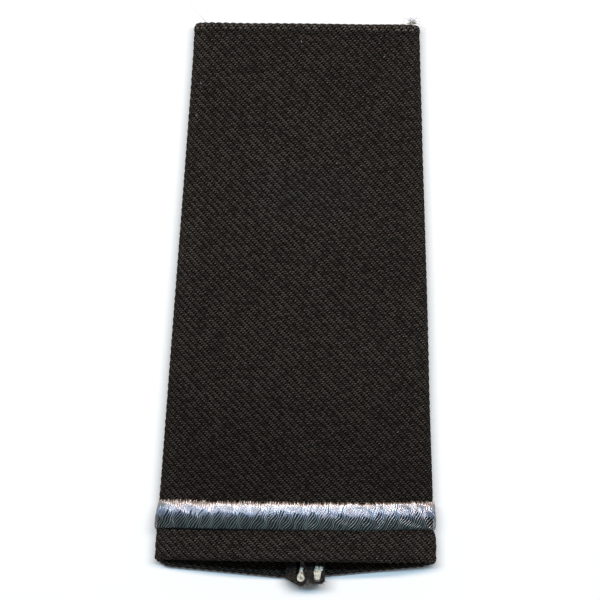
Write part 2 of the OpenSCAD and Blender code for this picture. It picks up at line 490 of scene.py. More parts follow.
def painted_light_and_shade(cloth, lit, place, cut_v):
    """Painted light and shade on the twill: its lightness raised where the cloth would catch more
    light and lowered where it lies in shade.
    """
    m = cloth.math
    at = cloth.node("SeparateXYZ", None, Vector=place).outputs
    half_w = m("MULTIPLY_ADD", at["Y"], FRONT_HALF_W_SLOPE, FRONT_HALF_W)
    to_side = m("DIVIDE", m("ABSOLUTE", at["X"]), half_w)
    from_roll = m("ABSOLUTE", m("SUBTRACT", cut_v, FRONT_L / 2 - 0.1 * MM))
    from_stitches = m("ABSOLUTE", m("SUBTRACT", cut_v, STITCH_V))
    # Painted light along the folds, below the bar and on the collar end's roll, and painted shade
    # above the bar and in the groove of the collar end's stitches
    for measure, low, high, at_low, at_high in (
        (to_side, 0.8, 1.0, 1.0, 1.14),
        (at["Y"], -34 * MM, -2 * MM, 0.74, 1.0),
        (at["Y"], -47 * MM, -44 * MM, 1.42, 1.0),
        (from_roll, 0.95 * MM, 1.4 * MM, 1.75, 1.0),
        (from_stitches, 0.2 * MM, 0.65 * MM, 0.72, 1.0),
    ):
        lit = m("MULTIPLY", lit, cloth.spread(measure, low, high, at_low, at_high))
    return lit


def smudge_share(cloth, place, crest):
    """How much of the old smudge on the front shows at a place, most on the crests."""
    m = cloth.math
    at = cloth.node("Mapping", {"vector_type": "TEXTURE"}, Vector=place)
    at.inputs["Location"].default_value = SMUDGE_AT
    at.inputs["Scale"].default_value = SMUDGE_SIZE
    reach = cloth.node("VectorMath", {"operation": "LENGTH"})
    cloth.join(at.outputs[0], reach.inputs[0])
    nearness = cloth.spread(reach.outputs["Value"], 1.0, 0.2)
    least, more = SMUDGE_SHARE
    return m("MULTIPLY", nearness, m("MULTIPLY_ADD", crest, more, least))


def twill_finish(name):
    """Row by row of yarns, from the flat cut in the piece's UV map: on each rib a yarn's crest and
    the lower one beside it, both lightened as painted highlight, and a hole in the groove between
    two ribs darkened as painted shade."""
    cloth = Finish(name, Specular_IOR_Level=0.04)
    m = cloth.math
    cut = cloth.node("UVMap", {"uv_map": "cut"}).outputs["UV"]
    place = cloth.node("TexCoord").outputs["Object"]
    wander = cloth.noise(place, 900, 1.0)
    parts = cloth.node("SeparateXYZ", None, Vector=cut).outputs
    u = m("MULTIPLY_ADD", wander, YARN_WANDER, m("MULTIPLY", parts["X"], 1 / YARN))
    v = m("MULTIPLY_ADD", wander, -YARN_WANDER, m("MULTIPLY", parts["Y"], 1 / YARN))
    row = m("FLOOR", v)
    in_row = m("SUBTRACT", m("FRACT", v), 0.5)
    along = m("ADD", u, row)
    # A lot of its own for each repeat of four yarns in each row
    key = cloth.node("CombineXYZ", None, X=m("FLOOR", m("MULTIPLY", along, 0.25)), Y=row)
    lots = cloth.node("TexWhiteNoise", None, Vector=key.outputs[0]).outputs["Color"]
    lot = cloth.node("SeparateXYZ", None, Vector=lots).outputs

    def spot(at, off_row, half_w, half_h, slant):
        """1 in the middle of one spot in each repeat of four yarns, 0 outside it."""
        up = m("SUBTRACT", in_row, off_row)
        side = m("WRAP", m("SUBTRACT", along, at), 2, -2)
        side = m("MULTIPLY_ADD", up, -slant, side)
        far_x = m("POWER", m("ABSOLUTE", m("DIVIDE", side, half_w)), 2)
        far_y = m("POWER", m("ABSOLUTE", m("DIVIDE", up, half_h)), 2)
        return cloth.spread(m("ADD", far_x, far_y), 1, 0)

    def amount(value, least_and_more):
        least, more = least_and_more
        return m("MULTIPLY_ADD", value, more, least)

    crest = spot(*CREST_SPOT)
    beside = spot(*BESIDE_SPOT)
    hole = spot(*HOLE_SPOT)
    fibre = cloth.noise(place, 14000, 3.0)
    patches = cloth.noise(place, 45, 3.0)
    # Painted highlight on the crests and beside them, and painted shade in the holes
    lit = m("MULTIPLY_ADD", crest, amount(lot["X"], CREST_PAINTED_HIGHLIGHT), GROUND_LIGHT)
    lit = m("MULTIPLY_ADD", beside, amount(lot["Y"], BESIDE_PAINTED_LIGHT), lit)
    lit = m("MULTIPLY", lit, m("MULTIPLY_ADD", hole, -HOLE_SHADE, 1))
    lit = m("MULTIPLY", lit, amount(fibre, FIBRE_LIGHT))
    lit = m("MULTIPLY", lit, cloth.spread(patches, 0.3, 0.7, *PATCH_LIGHT))
    # Painted light and shade by place on the cloth
    lit = painted_light_and_shade(cloth, lit, place, parts["Y"])
    light = cloth.mix(lot["Z"], TWILL_REDDISH, TWILL_GREENISH)
    colour = cloth.mix(lit, TWILL_DARK, light)
    colour = cloth.mix(smudge_share(cloth, place, crest), colour, SMUDGE)
    fleck = m("MULTIPLY", m("GREATER_THAN", lot["Z"], 1 - FLECK_SHARE), crest)
    cloth.colour(cloth.mix(fleck, colour, TWILL_FLECK))
    cloth.rough(cloth.mix(crest, 0.95, 0.7))
    height = m("MULTIPLY_ADD", beside, 0.8, m("MULTIPLY_ADD", hole, -0.7, crest))
    cloth.bump(m("MULTIPLY_ADD", fibre, 0.25, height), 0.11 * MM)
    return cloth.material


def raw_edge_finish():
    """The cut edge of the twill, where its yarns end in a fuzz."""
    cloth = Finish("twill_raw_edge", Roughness=0.95, Specular_IOR_Level=0.05)
    place = cloth.node("TexCoord").outputs["Object"]
    fibre = cloth.noise(place, 5500, 4.0)
    ends = cloth.spread(fibre, 0.42, 0.72)
    cloth.colour(cloth.mix(ends, (0.003, 0.0025, 0.0025, 1), (0.075, 0.064, 0.057, 1)))
    cloth.bump(fibre, 0.2 * MM)
    return cloth.material


def interlining_finish():
    felt = Finish("off_white_felt", Roughness=0.9, Sheen_Weight=0.3, Specular_IOR_Level=0.3)
    place = felt.node("TexCoord").outputs["Object"]
    fibre = felt.noise(place, 5000, 4.0)
    dirt = felt.noise(place, 1300, 3.0)
    colour = felt.mix(felt.spread(fibre, 0.3, 0.65), (0.36, 0.34, 0.27, 1), (0.82, 0.80, 0.70, 1))
    colour = felt.mix(felt.spread(dirt, 0.50, 0.72), colour, (0.16, 0.14, 0.11, 1))
    felt.colour(colour)
    felt.bump(fibre, 0.15 * MM)
    return felt.material


THREAD_SLATE = (0.045, 0.066, 0.07, 1)
THREAD_PAINTED_LAVENDER = (0.05, 0.13, 0.33, 1)
THREAD_PAINTED_WARM = (0.34, 0.20, 0.11, 1)
THREAD_SHEEN = (1.0, 0.93, 1.0, 1)


def silver_finish(name, dark, light, level, painted_sheen):
    """Glossy rayon, each strand a little different. Its last argument sets how strongly the painted
    highlight colours across the bar show."""
    thread = Finish(name, Specular_IOR_Level=level, IOR=2.15, Specular_Tint=THREAD_SHEEN)
    m = thread.math
    place = thread.node("TexCoord").outputs["Object"]
    island = thread.node("NewGeometry").outputs["Random Per Island"]
    tone = thread.noise(place, 500, 2.0)
    colour = thread.mix(island, dark, light)
    colour = thread.mix(m("MULTIPLY", tone, 0.4), colour, THREAD_SLATE)
    # Painted highlight colour: bluish along the bar's middle and warmer at its edge nearer the
    # collar
    at = thread.node("SeparateXYZ", None, Vector=place).outputs
    across = m("MULTIPLY_ADD", at["X"], -END_SKEW, m("SUBTRACT", at["Y"], MIDDLE_Y + BAR_Y))
    from_middle = m("ABSOLUTE", m("SUBTRACT", across, 0.7 * MM))
    painted_lavender_sheen = thread.spread(from_middle, 0.2 * MM, 1.5 * MM, 0.8 * painted_sheen, 0)
    painted_warm_sheen = thread.spread(across, 1.6 * MM, 2.6 * MM, 0, painted_sheen)
    colour = thread.mix(painted_lavender_sheen, colour, THREAD_PAINTED_LAVENDER)
    thread.colour(thread.mix(painted_warm_sheen, colour, THREAD_PAINTED_WARM))
    fibre = thread.noise(place, 16000, 2.0)
    thread.rough(thread.spread(fibre, 0.3, 0.7, 0.25, 0.335))
    thread.bump(fibre, 0.005 * MM)
    return thread.material


def dark_thread_finish():
    thread = Finish("black_sewing_thread", Roughness=0.8, Specular_IOR_Level=0.1)
    place = thread.node("TexCoord").outputs["Object"]
    twist = thread.noise(place, 9000, 2.0)
    thread.colour(thread.mix(twist, (0.006, 0.005, 0.005, 1), (0.028, 0.025, 0.024, 1)))
    thread.bump(twist, 0.04 * MM)
    return thread.material


def fibre_finish(name, dark, light):
    hair = Finish(name, Roughness=0.7, Specular_IOR_Level=0.4)
    island = hair.node("NewGeometry").outputs["Random Per Island"]
    hair.colour(hair.mix(island, dark, light))
    return hair.material


TWILL = twill_finish("black_brown_twill")
RAW_EDGE = raw_edge_finish()
FELT = interlining_finish()
SILVER = silver_finish(
    "silver_grey_thread", (0.006, 0.018, 0.018, 1), (0.10, 0.175, 0.17, 1), level=1.0, painted_sheen=0.5
)
# The padding's thread is near black: painted shade in the gaps between the strands
PADDING_PAINTED_SHADE = silver_finish(
    "padding_painted_shade", (0.006, 0.008, 0.009, 1), (0.01, 0.013, 0.015, 1), level=0.02, painted_sheen=0.03
)
DARK_THREAD = dark_thread_finish()
FUZZ = fibre_finish("twill_fuzz", (0.016, 0.013, 0.012, 1), (0.13, 0.11, 0.10, 1))
FRAYED = fibre_finish("frayed_yarn", (0.05, 0.046, 0.034, 1), (0.36, 0.34, 0.27, 1))
PALE_FIBRE = fibre_finish("pale_loose_fibre", (0.28, 0.25, 0.30, 1), (0.60, 0.56, 0.62, 1))

# The sleeve: one piece of twill, cut flat, hemmed at both ends and folded round to the seam

SLEEVE_WAVES = (
    (95, 60, 0.4, 0.10 * MM),
    (-140, 75, 1.9, 0.07 * MM),
    (40, -160, 3.1, 0.07 * MM),
    (260, 210, 5.0, 0.03 * MM),
)
WAVES_DEPTH = 0.2 * MM
GROOVE_W = 0.45 * MM
GROOVE_DEPTH = 0.16 * MM
GROOVE_TUCK = 0.35
STITCH_PITCH = 2.7 * MM
SEAM_ROLL = 0.9 * MM
SEAM_ROLL_DEPTH = 0.45 * MM

# How far the ribs' crests stand out of the cloth's smooth skin, and by what share the grooves are
# deeper at both ends. They are also deeper along the middle of each side fold.
RIB_PROUD = 0.03 * MM
COLLAR_END_RIBS = 1.2
OUTER_END_RIBS = 2.4
END_RIBS_W = 1.2 * MM
FOLD_RIBS_AT = 0.58
FOLD_RIBS_W = 1.3 * MM

# How much further out each side stands than a straight one, for each place along the front
SIDE_V = {
    LEFT: np.array([25, 47]) * MM,
    RIGHT: np.array([-49.8, -47.9, -47.2, -42, -40.5, 16, 28, 47]) * MM,
}
SIDE_FULLNESS = {
    LEFT: np.array([0, 0.2]) * MM,
    RIGHT: np.array([0.54, 0.46, 0, 0, 0.18, 0.18, 0.1, 0.2]) * MM,
}
# It grows from SIDE_C outwards, and is gone at the back
SIDE_C = 12 * MM
SIDE_GROWTH = 8 * MM
SIDE_FADE = 0.45


def to_back(c, v):
    """How far across the cloth it still is to the back, and how wide the fold is."""
    section = Section(np.clip(v, -FRONT_L / 2, FRONT_L / 2))
    return section.crown_arc + section.fold_arc - np.abs(c), section.fold_arc


def ramp(value, start, length):
    """0 up to start, and 1 from start + length on."""
    return np.clip((value - start) / length, 0, 1)


def fullness(c, v):
    """How much further out the cloth's face stands at the sides: nothing at the front's middle, on
    the back and on the turned-in hems."""
    at_left, at_right = (np.interp(v, SIDE_V[side], SIDE_FULLNESS[side]) for side in (LEFT, RIGHT))
    room, fold_arc = to_back(c, v)
    share = ramp(np.abs(c), SIDE_C, SIDE_GROWTH)
    share = share * np.clip(room / (SIDE_FADE * fold_arc), 0, 1) ** 2
    round_end = np.clip((NOSE_R - FRONT_L / 2 - v) / NOSE_R, 0, math.pi / 2)
    before_hem = np.cos(round_end) * np.clip((APEX_V + MM - v) / (0.8 * MM), 0, 1)
    return np.where(c < 0, at_left, at_right) * share * before_hem


def sleeve_relief(c, v, layer):
    """How far the cloth's face lies in from its smooth outer skin."""
    to_seam = np.where(c < 0, cut_edge(v, LEFT), cut_edge(v, RIGHT)) - np.abs(c)
    at_face = 1 - np.clip(layer / CLOTH_T, 0, 1)
    at_end = np.clip(1 - np.abs(np.abs(v) - APEX_V) / END_RIBS_W, 0, 1)
    deeper = at_end * np.where(v > 0, COLLAR_END_RIBS, OUTER_END_RIBS)
    room, fold_arc = to_back(c, v)
    deeper = deeper + np.exp(-(((room - FOLD_RIBS_AT * fold_arc) / FOLD_RIBS_W) ** 2))
    ribs = RIB_DEPTH * (1 + deeper) * (1 - rib_wave(c, v)) - RIB_PROUD
    from_rows = [(np.abs(v) - row) / GROOVE_W for row in STITCH_ROWS]
    groove = sum(GROOVE_DEPTH * np.exp(-(away**2)) for away in from_rows)
    groove = groove * (1 + GROOVE_TUCK * np.cos(2 * math.pi * c / STITCH_PITCH))
    seam = SEAM_ROLL_DEPTH * np.clip(1 - to_seam / SEAM_ROLL, 0, 1) ** 2
    # The waves are gone at the hems, and weaker towards the sides
    at_hem = ramp(np.abs(v), APEX_V - 6 * MM, 4 * MM)
    front = np.clip(1 - np.abs(c) / (30 * MM), 0, 1) ** 0.5
    waves = (ripple(c, v, SLEEVE_WAVES) + WAVES_DEPTH) * front * (1 - at_hem)
    return (ribs + groove + seam - fullness(c, v)) * at_face + waves


def sleeve_place(flat):
    c, v, layer = flat[:, 0], flat[:, 1], -flat[:, 2]
    return on_board(c, v, layer + sleeve_relief(c, v, layer))


def sleeve_zone(v0, v1):
    ends = np.array([v0, v1])
    return v0, v1, tuple(-cut_edge(ends, LEFT)), tuple(cut_edge(ends, RIGHT))


# Rows round the roll of each end. The one on its apex is a border between two zones.
TURN_STEPS = 8
NOSE_LINES = [
    end * (FRONT_L / 2 - NOSE_R + NOSE_R * math.pi * k / TURN_STEPS)
    for end in (-1, 1)
    for k in range(TURN_STEPS + 1)
    if k != TURN_STEPS / 2
]
SLEEVE_ZONES = [
    sleeve_zone(-RAW_V, -APEX_V),
    sleeve_zone(-APEX_V, APEX_V),
    sleeve_zone(APEX_V, RAW_V),
]
sleeve_mesh = cut_cloth("sleeve_cloth", SLEEVE_ZONES, NOSE_LINES)
move_vertices(sleeve_mesh, sleeve_place)
sleeve = new_piece("sleeve_cloth", sleeve_mesh, (TWILL, RAW_EDGE))
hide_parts("sleeve_panel")

# The seam allowances: the same cloth standing on the back, turned back on itself at both ends


def slot_w(side):
    return INTERLINING_T[side] + 2 * PIECE_GAP


def outer_nose_y(side):
    return seam_y(side, -FRONT_L / 2) - ALLOWANCE_PROUD + CLOTH_T + slot_w(side) / 2


def collar_nose_y(side):
    return seam_y(side, FRONT_L / 2) - HEM_T / 2


def collar_turn(side):
    return collar_nose_y(side), CLOTH_T + HEM_GAP / 2


def outer_turn(side):
    return outer_nose_y(side), CLOTH_T + slot_w(side) / 2


# How the plies of an allowance's outer end lie, against even ones: distances from the seam
NUB_X = np.array([0, 1, 2.7, 3.7]) * MM
NUB_SPREAD = {
    LEFT: np.array([-0.04, 0.62, 2.20, 4.5]) * MM,
    RIGHT: np.array([-0.04, 1.05, 2.75, 3.4]) * MM,
}
# How far the inner and the outer face of that end reach past the middle of its turn
NUB_REACH = {LEFT: np.array([1.1, 1.88]) * MM, RIGHT: np.array([1.36, 1.72]) * MM}
# How round its corners are, beside the seam and away from it: under 1 is square, over 1 slants
NUB_ROUND = {LEFT: (1.2, 1.55), RIGHT: (0.8, 0.7)}
# How far in from the outer turn the plies lie so, and over what length that fades
NUB_L = 7 * MM
NUB_FADE = 5 * MM
# How much the strips lean and how much their tops wave, as shares, with the rate along them
LEAN = 0.06
LEAN_RATE = 900
TOP_WAVE = 0.03
TOP_WAVE_RATE = 1400
# How far the left allowance's turned-back ply has sunk, as a share of its height
LEFT_SAG = 0.5


def strip_place(side):
    """Stands a flat strip, h up and t along, beside the seam and turns both its ends back."""
    turns = (
        (1, *collar_turn(side), (1, 1)),
        (-1, *outer_turn(side), NUB_ROUND[side]),
    )
    outer_y = outer_nose_y(side)

    def place(flat):
        h, t, layer = flat[:, 0], flat[:, 1], -flat[:, 2]
        layer = layer + RIB_DEPTH * (1 - rib_wave(h, t)) * (layer < CLOTH_T / 2)
        x, y = layer.copy(), t.copy()
        for end, nose_y, r, corners in turns:
            past = end * (t - nose_y)
            turn = np.clip(past / r, 0, math.pi)
            after = np.maximum(past - math.pi * r, 0)
            turned = past > 0
            power = np.where(turn < math.pi / 2, *corners)
            level = np.sign(np.cos(turn)) * np.abs(np.cos(turn)) ** power
            reach = np.sin(turn) ** power
            x[turned] = (r - (r - layer) * level)[turned]
            deep = r - layer
            if end < 0:
                deep = np.interp(deep, (slot_w(side) / 2, r), NUB_REACH[side])
            y[turned] = (nose_y + end * (deep * reach - after))[turned]
        spread = np.interp(x, NUB_X, NUB_SPREAD[side]) - x
        x = x + spread * np.clip((outer_y + NUB_L - y) / NUB_FADE, 0, 1)
        lean = 1 + LEAN * np.sin(t * LEAN_RATE) * h / ALLOWANCE_H
        sag = LEFT_SAG * ramp(x, 2.2 * MM, 2 * MM) if side == LEFT else 0
        top = 1 - TOP_WAVE + TOP_WAVE * np.sin(t * TOP_WAVE_RATE + side) - sag
        x = SEAM_SHIFT + side * (SEAM_GAP / 2 + x * lean)
        return np.stack([x, y + MIDDLE_Y, ALLOWANCE_FLOOR + h * top], axis=-1)

    return place


def seam_allowance(side, name, node):
    slope = math.tan(2 * TAPER + math.atan(END_SKEW) + math.atan(BACK_TILT))
    clear = PIECE_GAP + CLOTH_T * slope
    low = CLOTH_T + PIECE_GAP - ALLOWANCE_FLOOR
    collar_y, collar_r = collar_turn(side)
    outer_y, outer_r = outer_turn(side)
    ends = (
        outer_y - math.pi * outer_r - HEM_DEPTH,
        seam_y(side, HEM_DEPTH - FRONT_L / 2) + clear,
        seam_y(side, FRONT_L / 2 - HEM_DEPTH) - clear,
        collar_y + math.pi * collar_r + HEM_DEPTH,
    )
    tops = (ALLOWANCE_H, ALLOWANCE_H)
    zones = [
        (ends[0], ends[1], (0, 0), tops),
        (ends[1], ends[2], (low, low), tops),
        (ends[2], ends[3], (0, 0), tops),
    ]
    turns = [math.pi * k / TURN_STEPS for k in range(TURN_STEPS + 1)]
    lines = [outer_y - outer_r * turn for turn in turns]
    lines += [collar_y + collar_r * turn for turn in turns]
    mesh = cut_cloth(name, zones, lines, step=0.6 * MM)
    move_vertices(mesh, strip_place(side))
    piece = new_piece(name, mesh, (TWILL, RAW_EDGE))
    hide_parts(node)
    return piece


allowances = [
    seam_allowance(LEFT, "allowance_cloth_left", "seam_allowance_left"),
    seam_allowance(RIGHT, "allowance_cloth_right", "seam_allowance_right"),
]

# The interlining: a folded strip of felt that stands inside each allowance's outer end. Its plan
# is given from one free end round the fold to the other, in mm from the middle of the fold.

FELT_T = {LEFT: 0.56 * MM, RIGHT: 0.70 * MM}
FELT_PLANS = {
    LEFT: (
        (0.62, 5.6), (0.60, 4.2), (0.56, 3.0), (0.50, 2.2), (0.38, 1.5), (0.38, 0.9), (0.48, 0.4),
        (0.60, 0.0), (0.56, -0.45), (0.22, -0.76), (-0.14, -0.6), (-0.24, -0.15), (-0.16, 0.3),
        (-0.04, 0.7), (0.04, 1.1), (0.10, 1.6), (0.18, 2.2), (0.24, 3.0), (0.26, 4.2), (0.26, 5.6),
    ),
    RIGHT: (
        (1.4, 5.2), (1.4, 3.8), (1.36, 2.7), (1.3, 2.0), (1.14, 1.4), (0.86, 0.8), (0.7, 0.1),
        (0.58, -0.6), (0.46, -0.98), (0.32, -0.7), (0.17, -0.1), (0.06, 0.46), (0.16, 1.1),
        (0.28, 1.7), (0.34, 2.7), (0.34, 3.8), (0.34, 5.2),
    ),
}
FELT_X = 1.5 * MM
FELT_POINTS = 161
FELT_SMOOTHINGS = 8
FELT_RIPPLES = 10
FELT_ROUGHNESS = 0.035 * MM
FELT_FACE_ROUGHNESS = 1.1
FELT_TOP_ROUGHNESS = 1.4
# Past its fold the left strip is thinner, and both strips have sunk, by these shares
LEFT_FELT_THINNED = 0.42
FELT_SUNK = 0.62


def felt_line(side):
    """The middle line of a strip: how far along each point is, the points, and the way out."""
    plan = np.array(FELT_PLANS[side]) * MM
    steps = np.linalg.norm(np.diff(plan, axis=0), axis=1)
    knots = np.concatenate([[0], np.cumsum(steps)])
    fine = np.linspace(0, knots[-1], FELT_POINTS)
    line = np.stack([np.interp(fine, knots, plan[:, k]) for k in (0, 1)], axis=-1)
    for _ in range(FELT_SMOOTHINGS):
        line[1:-1] = (line[:-2] + 2 * line[1:-1] + line[2:]) / 4
    along = np.gradient(line, fine, axis=0)
    along /= np.linalg.norm(along, axis=1)[:, None]
    return fine, line, np.stack([-along[:, 1], along[:, 0]], axis=-1)


def felt_fold(side, name, node):
    fine, line, outward = felt_line(side)
    middle_x = SEAM_SHIFT + side * (SEAM_GAP / 2 + FELT_X)
    middle_y = outer_nose_y(side) + MIDDLE_Y
    draws = np.random.default_rng(11 + side)
    waves = [
        (draws.uniform(800, 5200), draws.uniform(800, 5200), draws.uniform(0, 6), FELT_ROUGHNESS)
        for _ in range(FELT_RIPPLES)
    ]

    def place(flat):
        h, t, layer = flat[:, 0], flat[:, 1], -flat[:, 2]
        point = np.stack([np.interp(t, fine, line[:, k]) for k in (0, 1)], axis=-1)
        normal = np.stack([np.interp(t, fine, outward[:, k]) for k in (0, 1)], axis=-1)
        offset = layer - FELT_T[side] / 2
        if side == LEFT:
            past_fold = ramp(point[:, 1], 0.3 * MM, 0.8 * MM)
            offset = offset * (1 - LEFT_FELT_THINNED * past_fold)
        offset = offset + ripple(h, t, waves) * FELT_FACE_ROUGHNESS
        x = middle_x + point[:, 0] + normal[:, 0] * offset
        y = middle_y + point[:, 1] + normal[:, 1] * offset
        sunk = FELT_SUNK * ramp(point[:, 1], 1.8 * MM, 0.6 * MM)
        top = ripple(t, layer, waves) * FELT_TOP_ROUGHNESS * h / ALLOWANCE_H
        return np.stack([x, y, ALLOWANCE_FLOOR + h * (1 - sunk) + top], axis=-1)

    mesh = cut_cloth(
        name,
        [(0, fine[-1], (0, 0), (ALLOWANCE_H, ALLOWANCE_H))],
        thickness=FELT_T[side],
        ribbed=False,
        step=0.15 * MM,
        across=0.3 * MM,
    )
    move_vertices(mesh, place)
    piece = new_piece(name, mesh, (FELT,))
    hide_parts(node)
    return piece


interlinings = [
    felt_fold(LEFT, "interlining_fold_left", "interlining_left"),
    felt_fold(RIGHT, "interlining_fold_right", "interlining_right"),
]

# The embroidered bar: a padding of thread under satin stitches that cross it at a slant

bar_section = Section(np.array([BAR_Y]))
bar_share = (math.pi / 2 - BAR_WRAP) / bar_section.fold_turn
BAR_END_C = float((bar_section.crown_arc + bar_section.fold_arc * (1 - bar_share))[0])
STRAND_R = 0.17 * MM
STRAND_PITCH = 0.5 * MM
STRAND_SLANT = 2.3 * MM
STRAND_POINTS = 19
# Across the bar from its outer edge to the one nearer the collar, and how high it stands there
BAR_ACROSS = (-1, -0.93, -0.8, -0.55, -0.2, 0.1, 0.2, 0.3, 0.4, 0.5, 0.6, 0.7, 0.8, 0.93, 1)
BAR_PROFILE = (
    (0.12, 0.30, 0.456, 0.624, 0.715)
    + (0.701, 0.682, 0.652, 0.615, 0.574)
    + (0.53, 0.483, 0.433, 0.352, 0.283)
)
END_ACROSS = (-1, -0.9, -0.5, 0, 0.5, 1)
END_PROFILE = (0.02, 0.16, 0.32, 0.27, 0.1, 0.0)
BAR_TILT = 0.36 * MM
LEAST_HEIGHT = 0.06 * MM
RIGHT_RISE = 0.25 * MM
LEFT_RISE = 0.1 * MM
LEFT_FLUSH = 0.22 * MM
PADDING_T = 0.4 * MM
LEAST_PADDING = 0.01 * MM


def bar_y(c, w):
    """The bar rises a little towards the collar end at its right end, and its top edge at both."""
    right = RIGHT_RISE * ramp(c, 15 * MM, 8 * MM)
    left = LEFT_RISE * ramp(-c, 17 * MM, 6 * MM) * np.clip(w, 0, 1)
    return BAR_Y + w * BAR_W / 2 + right + left


def bar_height(c, w):
    """How high the padding stands at w across the bar, from -1 at its outer edge to 1."""
    full = ramp(BAR_END_C - np.abs(c), MM, 6 * MM) ** 0.7
    at_end = np.interp(w, END_ACROSS, END_PROFILE) * MM
    middle = np.interp(w, BAR_ACROSS, BAR_PROFILE) * MM + BAR_TILT * w * c / BAR_END_C
    # The left end is pulled flush with the cloth
    flush = LEFT_FLUSH * ramp(-c, BAR_END_C - 3.6 * MM, 1.6 * MM)
    return at_end + (np.maximum(middle, LEAST_HEIGHT) - at_end) * full - flush


def on_bar(c, w, height):
    return on_board(c, bar_y(c, w), -PIECE_GAP * 0.5 - height)


def padding_place(flat):
    c, v, on_top = flat[:, 0], flat[:, 1], -flat[:, 2] < PADDING_T / 2
    w = (v - BAR_Y) / (BAR_W / 2)
    height = np.where(on_top, np.maximum(bar_height(c, w), LEAST_PADDING), 0.0)
    return on_bar(c, w, height)


padding_mesh = cut_cloth(
    "bar_padding",
    [(BAR_Y - BAR_W / 2, BAR_Y + BAR_W / 2, (-BAR_END_C, -BAR_END_C), (BAR_END_C, BAR_END_C))],
    thickness=PADDING_T,
    ribbed=False,
    step=0.3 * MM,
    across=0.7 * MM,
)
move_vertices(padding_mesh, padding_place)
padding = new_piece("bar_padding", padding_mesh, (PADDING_PAINTED_SHADE,))
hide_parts("embroidered_bar")

slant_draws = np.random.default_rng(5)
SLANT_WAVES = [
    (rate, 0.0, slant_draws.uniform(0, 6), 0.085 / (1 + rate / 900))
    for rate in slant_draws.uniform(200, 2000, 11)
]
WIGGLE_WAVES = [
    (
        slant_draws.uniform(600, 2600),
        slant_draws.uniform(1500, 4500),
        slant_draws.uniform(0, 6),
        0.055 * MM,
    )
    for _ in range(7)
]
# A strand's spots are closer together at its ends. It is upright above UPRIGHT_W.
STRAND_ARC = 1.35
OUTER_REACH = (0.93, 1.0)
COLLAR_REACH = (0.90, 1.12)
START_SPREAD = 0.55
UPRIGHT_W = 0.75
LEAN_BACK = 0.25
LEAN_POWER = 1.3
END_SLANT = 0.75
STRAND_STRAY = 0.025 * MM
STRAND_OVER = 0.1 * MM
# A strand gets thicker near the bar's middle, each at a place of its own, as shares of STRAND_R
STRAND_THICK = (0.44, 0.50, 0.54, 1.3, 1.4, 0.9)
STRAND_SIZES = (0.88, 1.10)
THICKER_AT = 0.22
END_THICK = 0.7
STRAND_TOP = 1.5
STRAND_LIFT = 0.03 * MM
OUTER_TUCK = -0.12 * MM
TUCK = -0.10 * MM


def satin_stitches(name, first, depth, seed, low_w=-1):
    """Strands side by side across the bar, upright at its top edge and slanting below it."""
    draws = np.random.default_rng(seed)
    paths = []
    for c0 in np.arange(first - BAR_END_C - MM, BAR_END_C + 2 * MM, STRAND_PITCH):
        w = np.sin(np.linspace(-STRAND_ARC, STRAND_ARC, STRAND_POINTS)) / math.sin(STRAND_ARC)
        low = low_w + (START_SPREAD * draws.random() if low_w > -1 else 0)
        w = low + (w + 1) / 2 * (1 - low)
        w = np.where(w < 0, w * draws.uniform(*OUTER_REACH), w * draws.uniform(*COLLAR_REACH))
        slant = STRAND_SLANT * (1 + ripple(c0, 0.0, SLANT_WAVES))
        slant *= np.interp(abs(c0), (BAR_END_C - 8 * MM, BAR_END_C), (1, END_SLANT))
        below = np.clip((UPRIGHT_W - w) / (1 + UPRIGHT_W), 0, 1.2)
        lean = slant * (LEAN_BACK - below**LEAN_POWER)
        c = c0 + lean + ripple(c0, w * BAR_W / 2, WIGGLE_WAVES) + draws.normal(0, STRAND_STRAY)
        # The bar's ends are rounded off at its edges
        end_c = BAR_END_C - (1.0 - 0.2 * w) * MM * np.abs(w) ** 4
        inside = np.abs(c) < end_c
        if inside.sum() < 3:
            continue
        # A strand that runs over the bar's end stops there
        inside[1:] |= inside[:-1].copy()
        inside[:-1] |= inside[1:].copy()
        over = np.abs(c) >= end_c
        c = np.clip(c, -end_c - STRAND_OVER, end_c + STRAND_OVER)
        thicker = draws.uniform(-THICKER_AT, THICKER_AT)
        thick = np.interp(w, (-1, -0.9, thicker - 0.1, thicker + 0.6, 0.9, 1), STRAND_THICK)
        ending = np.interp(abs(c0), (BAR_END_C - 4 * MM, BAR_END_C), (1, END_THICK))
        thick *= ending
        # The tops of the strands lie on the padding's curve, however thick they are there
        height = bar_height(c, w) + STRAND_R * (STRAND_TOP * ending - thick)
        height = height + draws.uniform(-STRAND_LIFT, STRAND_LIFT) - depth
        height[0] = OUTER_TUCK
        height[-1] = TUCK
        height = np.where(over, TUCK, height)
        spots = on_bar(c, w, height)
        paths.append(np.column_stack([spots, thick * draws.uniform(*STRAND_SIZES)])[inside])
    mesh = tubes(name, paths, STRAND_R, 8)
    return new_piece(name, mesh, (SILVER,))


bar_strands = satin_stitches("bar_strands", 0.1 * MM, 0.0, 6)
under_strands = satin_stitches("bar_under_strands", 0.35 * MM, 0.07 * MM, 7, -0.15)

# Lines of lockstitch along both hems, seen on the front and back and again inside. Spots along one
# stitch are shares of its pitch, and each has its depth in the cloth.

STITCH_SPOTS = np.array([-0.42, -0.36, -0.2, 0, 0.2, 0.36, 0.42])
STITCH_DEPTHS = np.array([0.6, 0.3, 0.2, 0.17, 0.2, 0.3, 0.6]) * MM
STITCH_R = 0.11 * MM


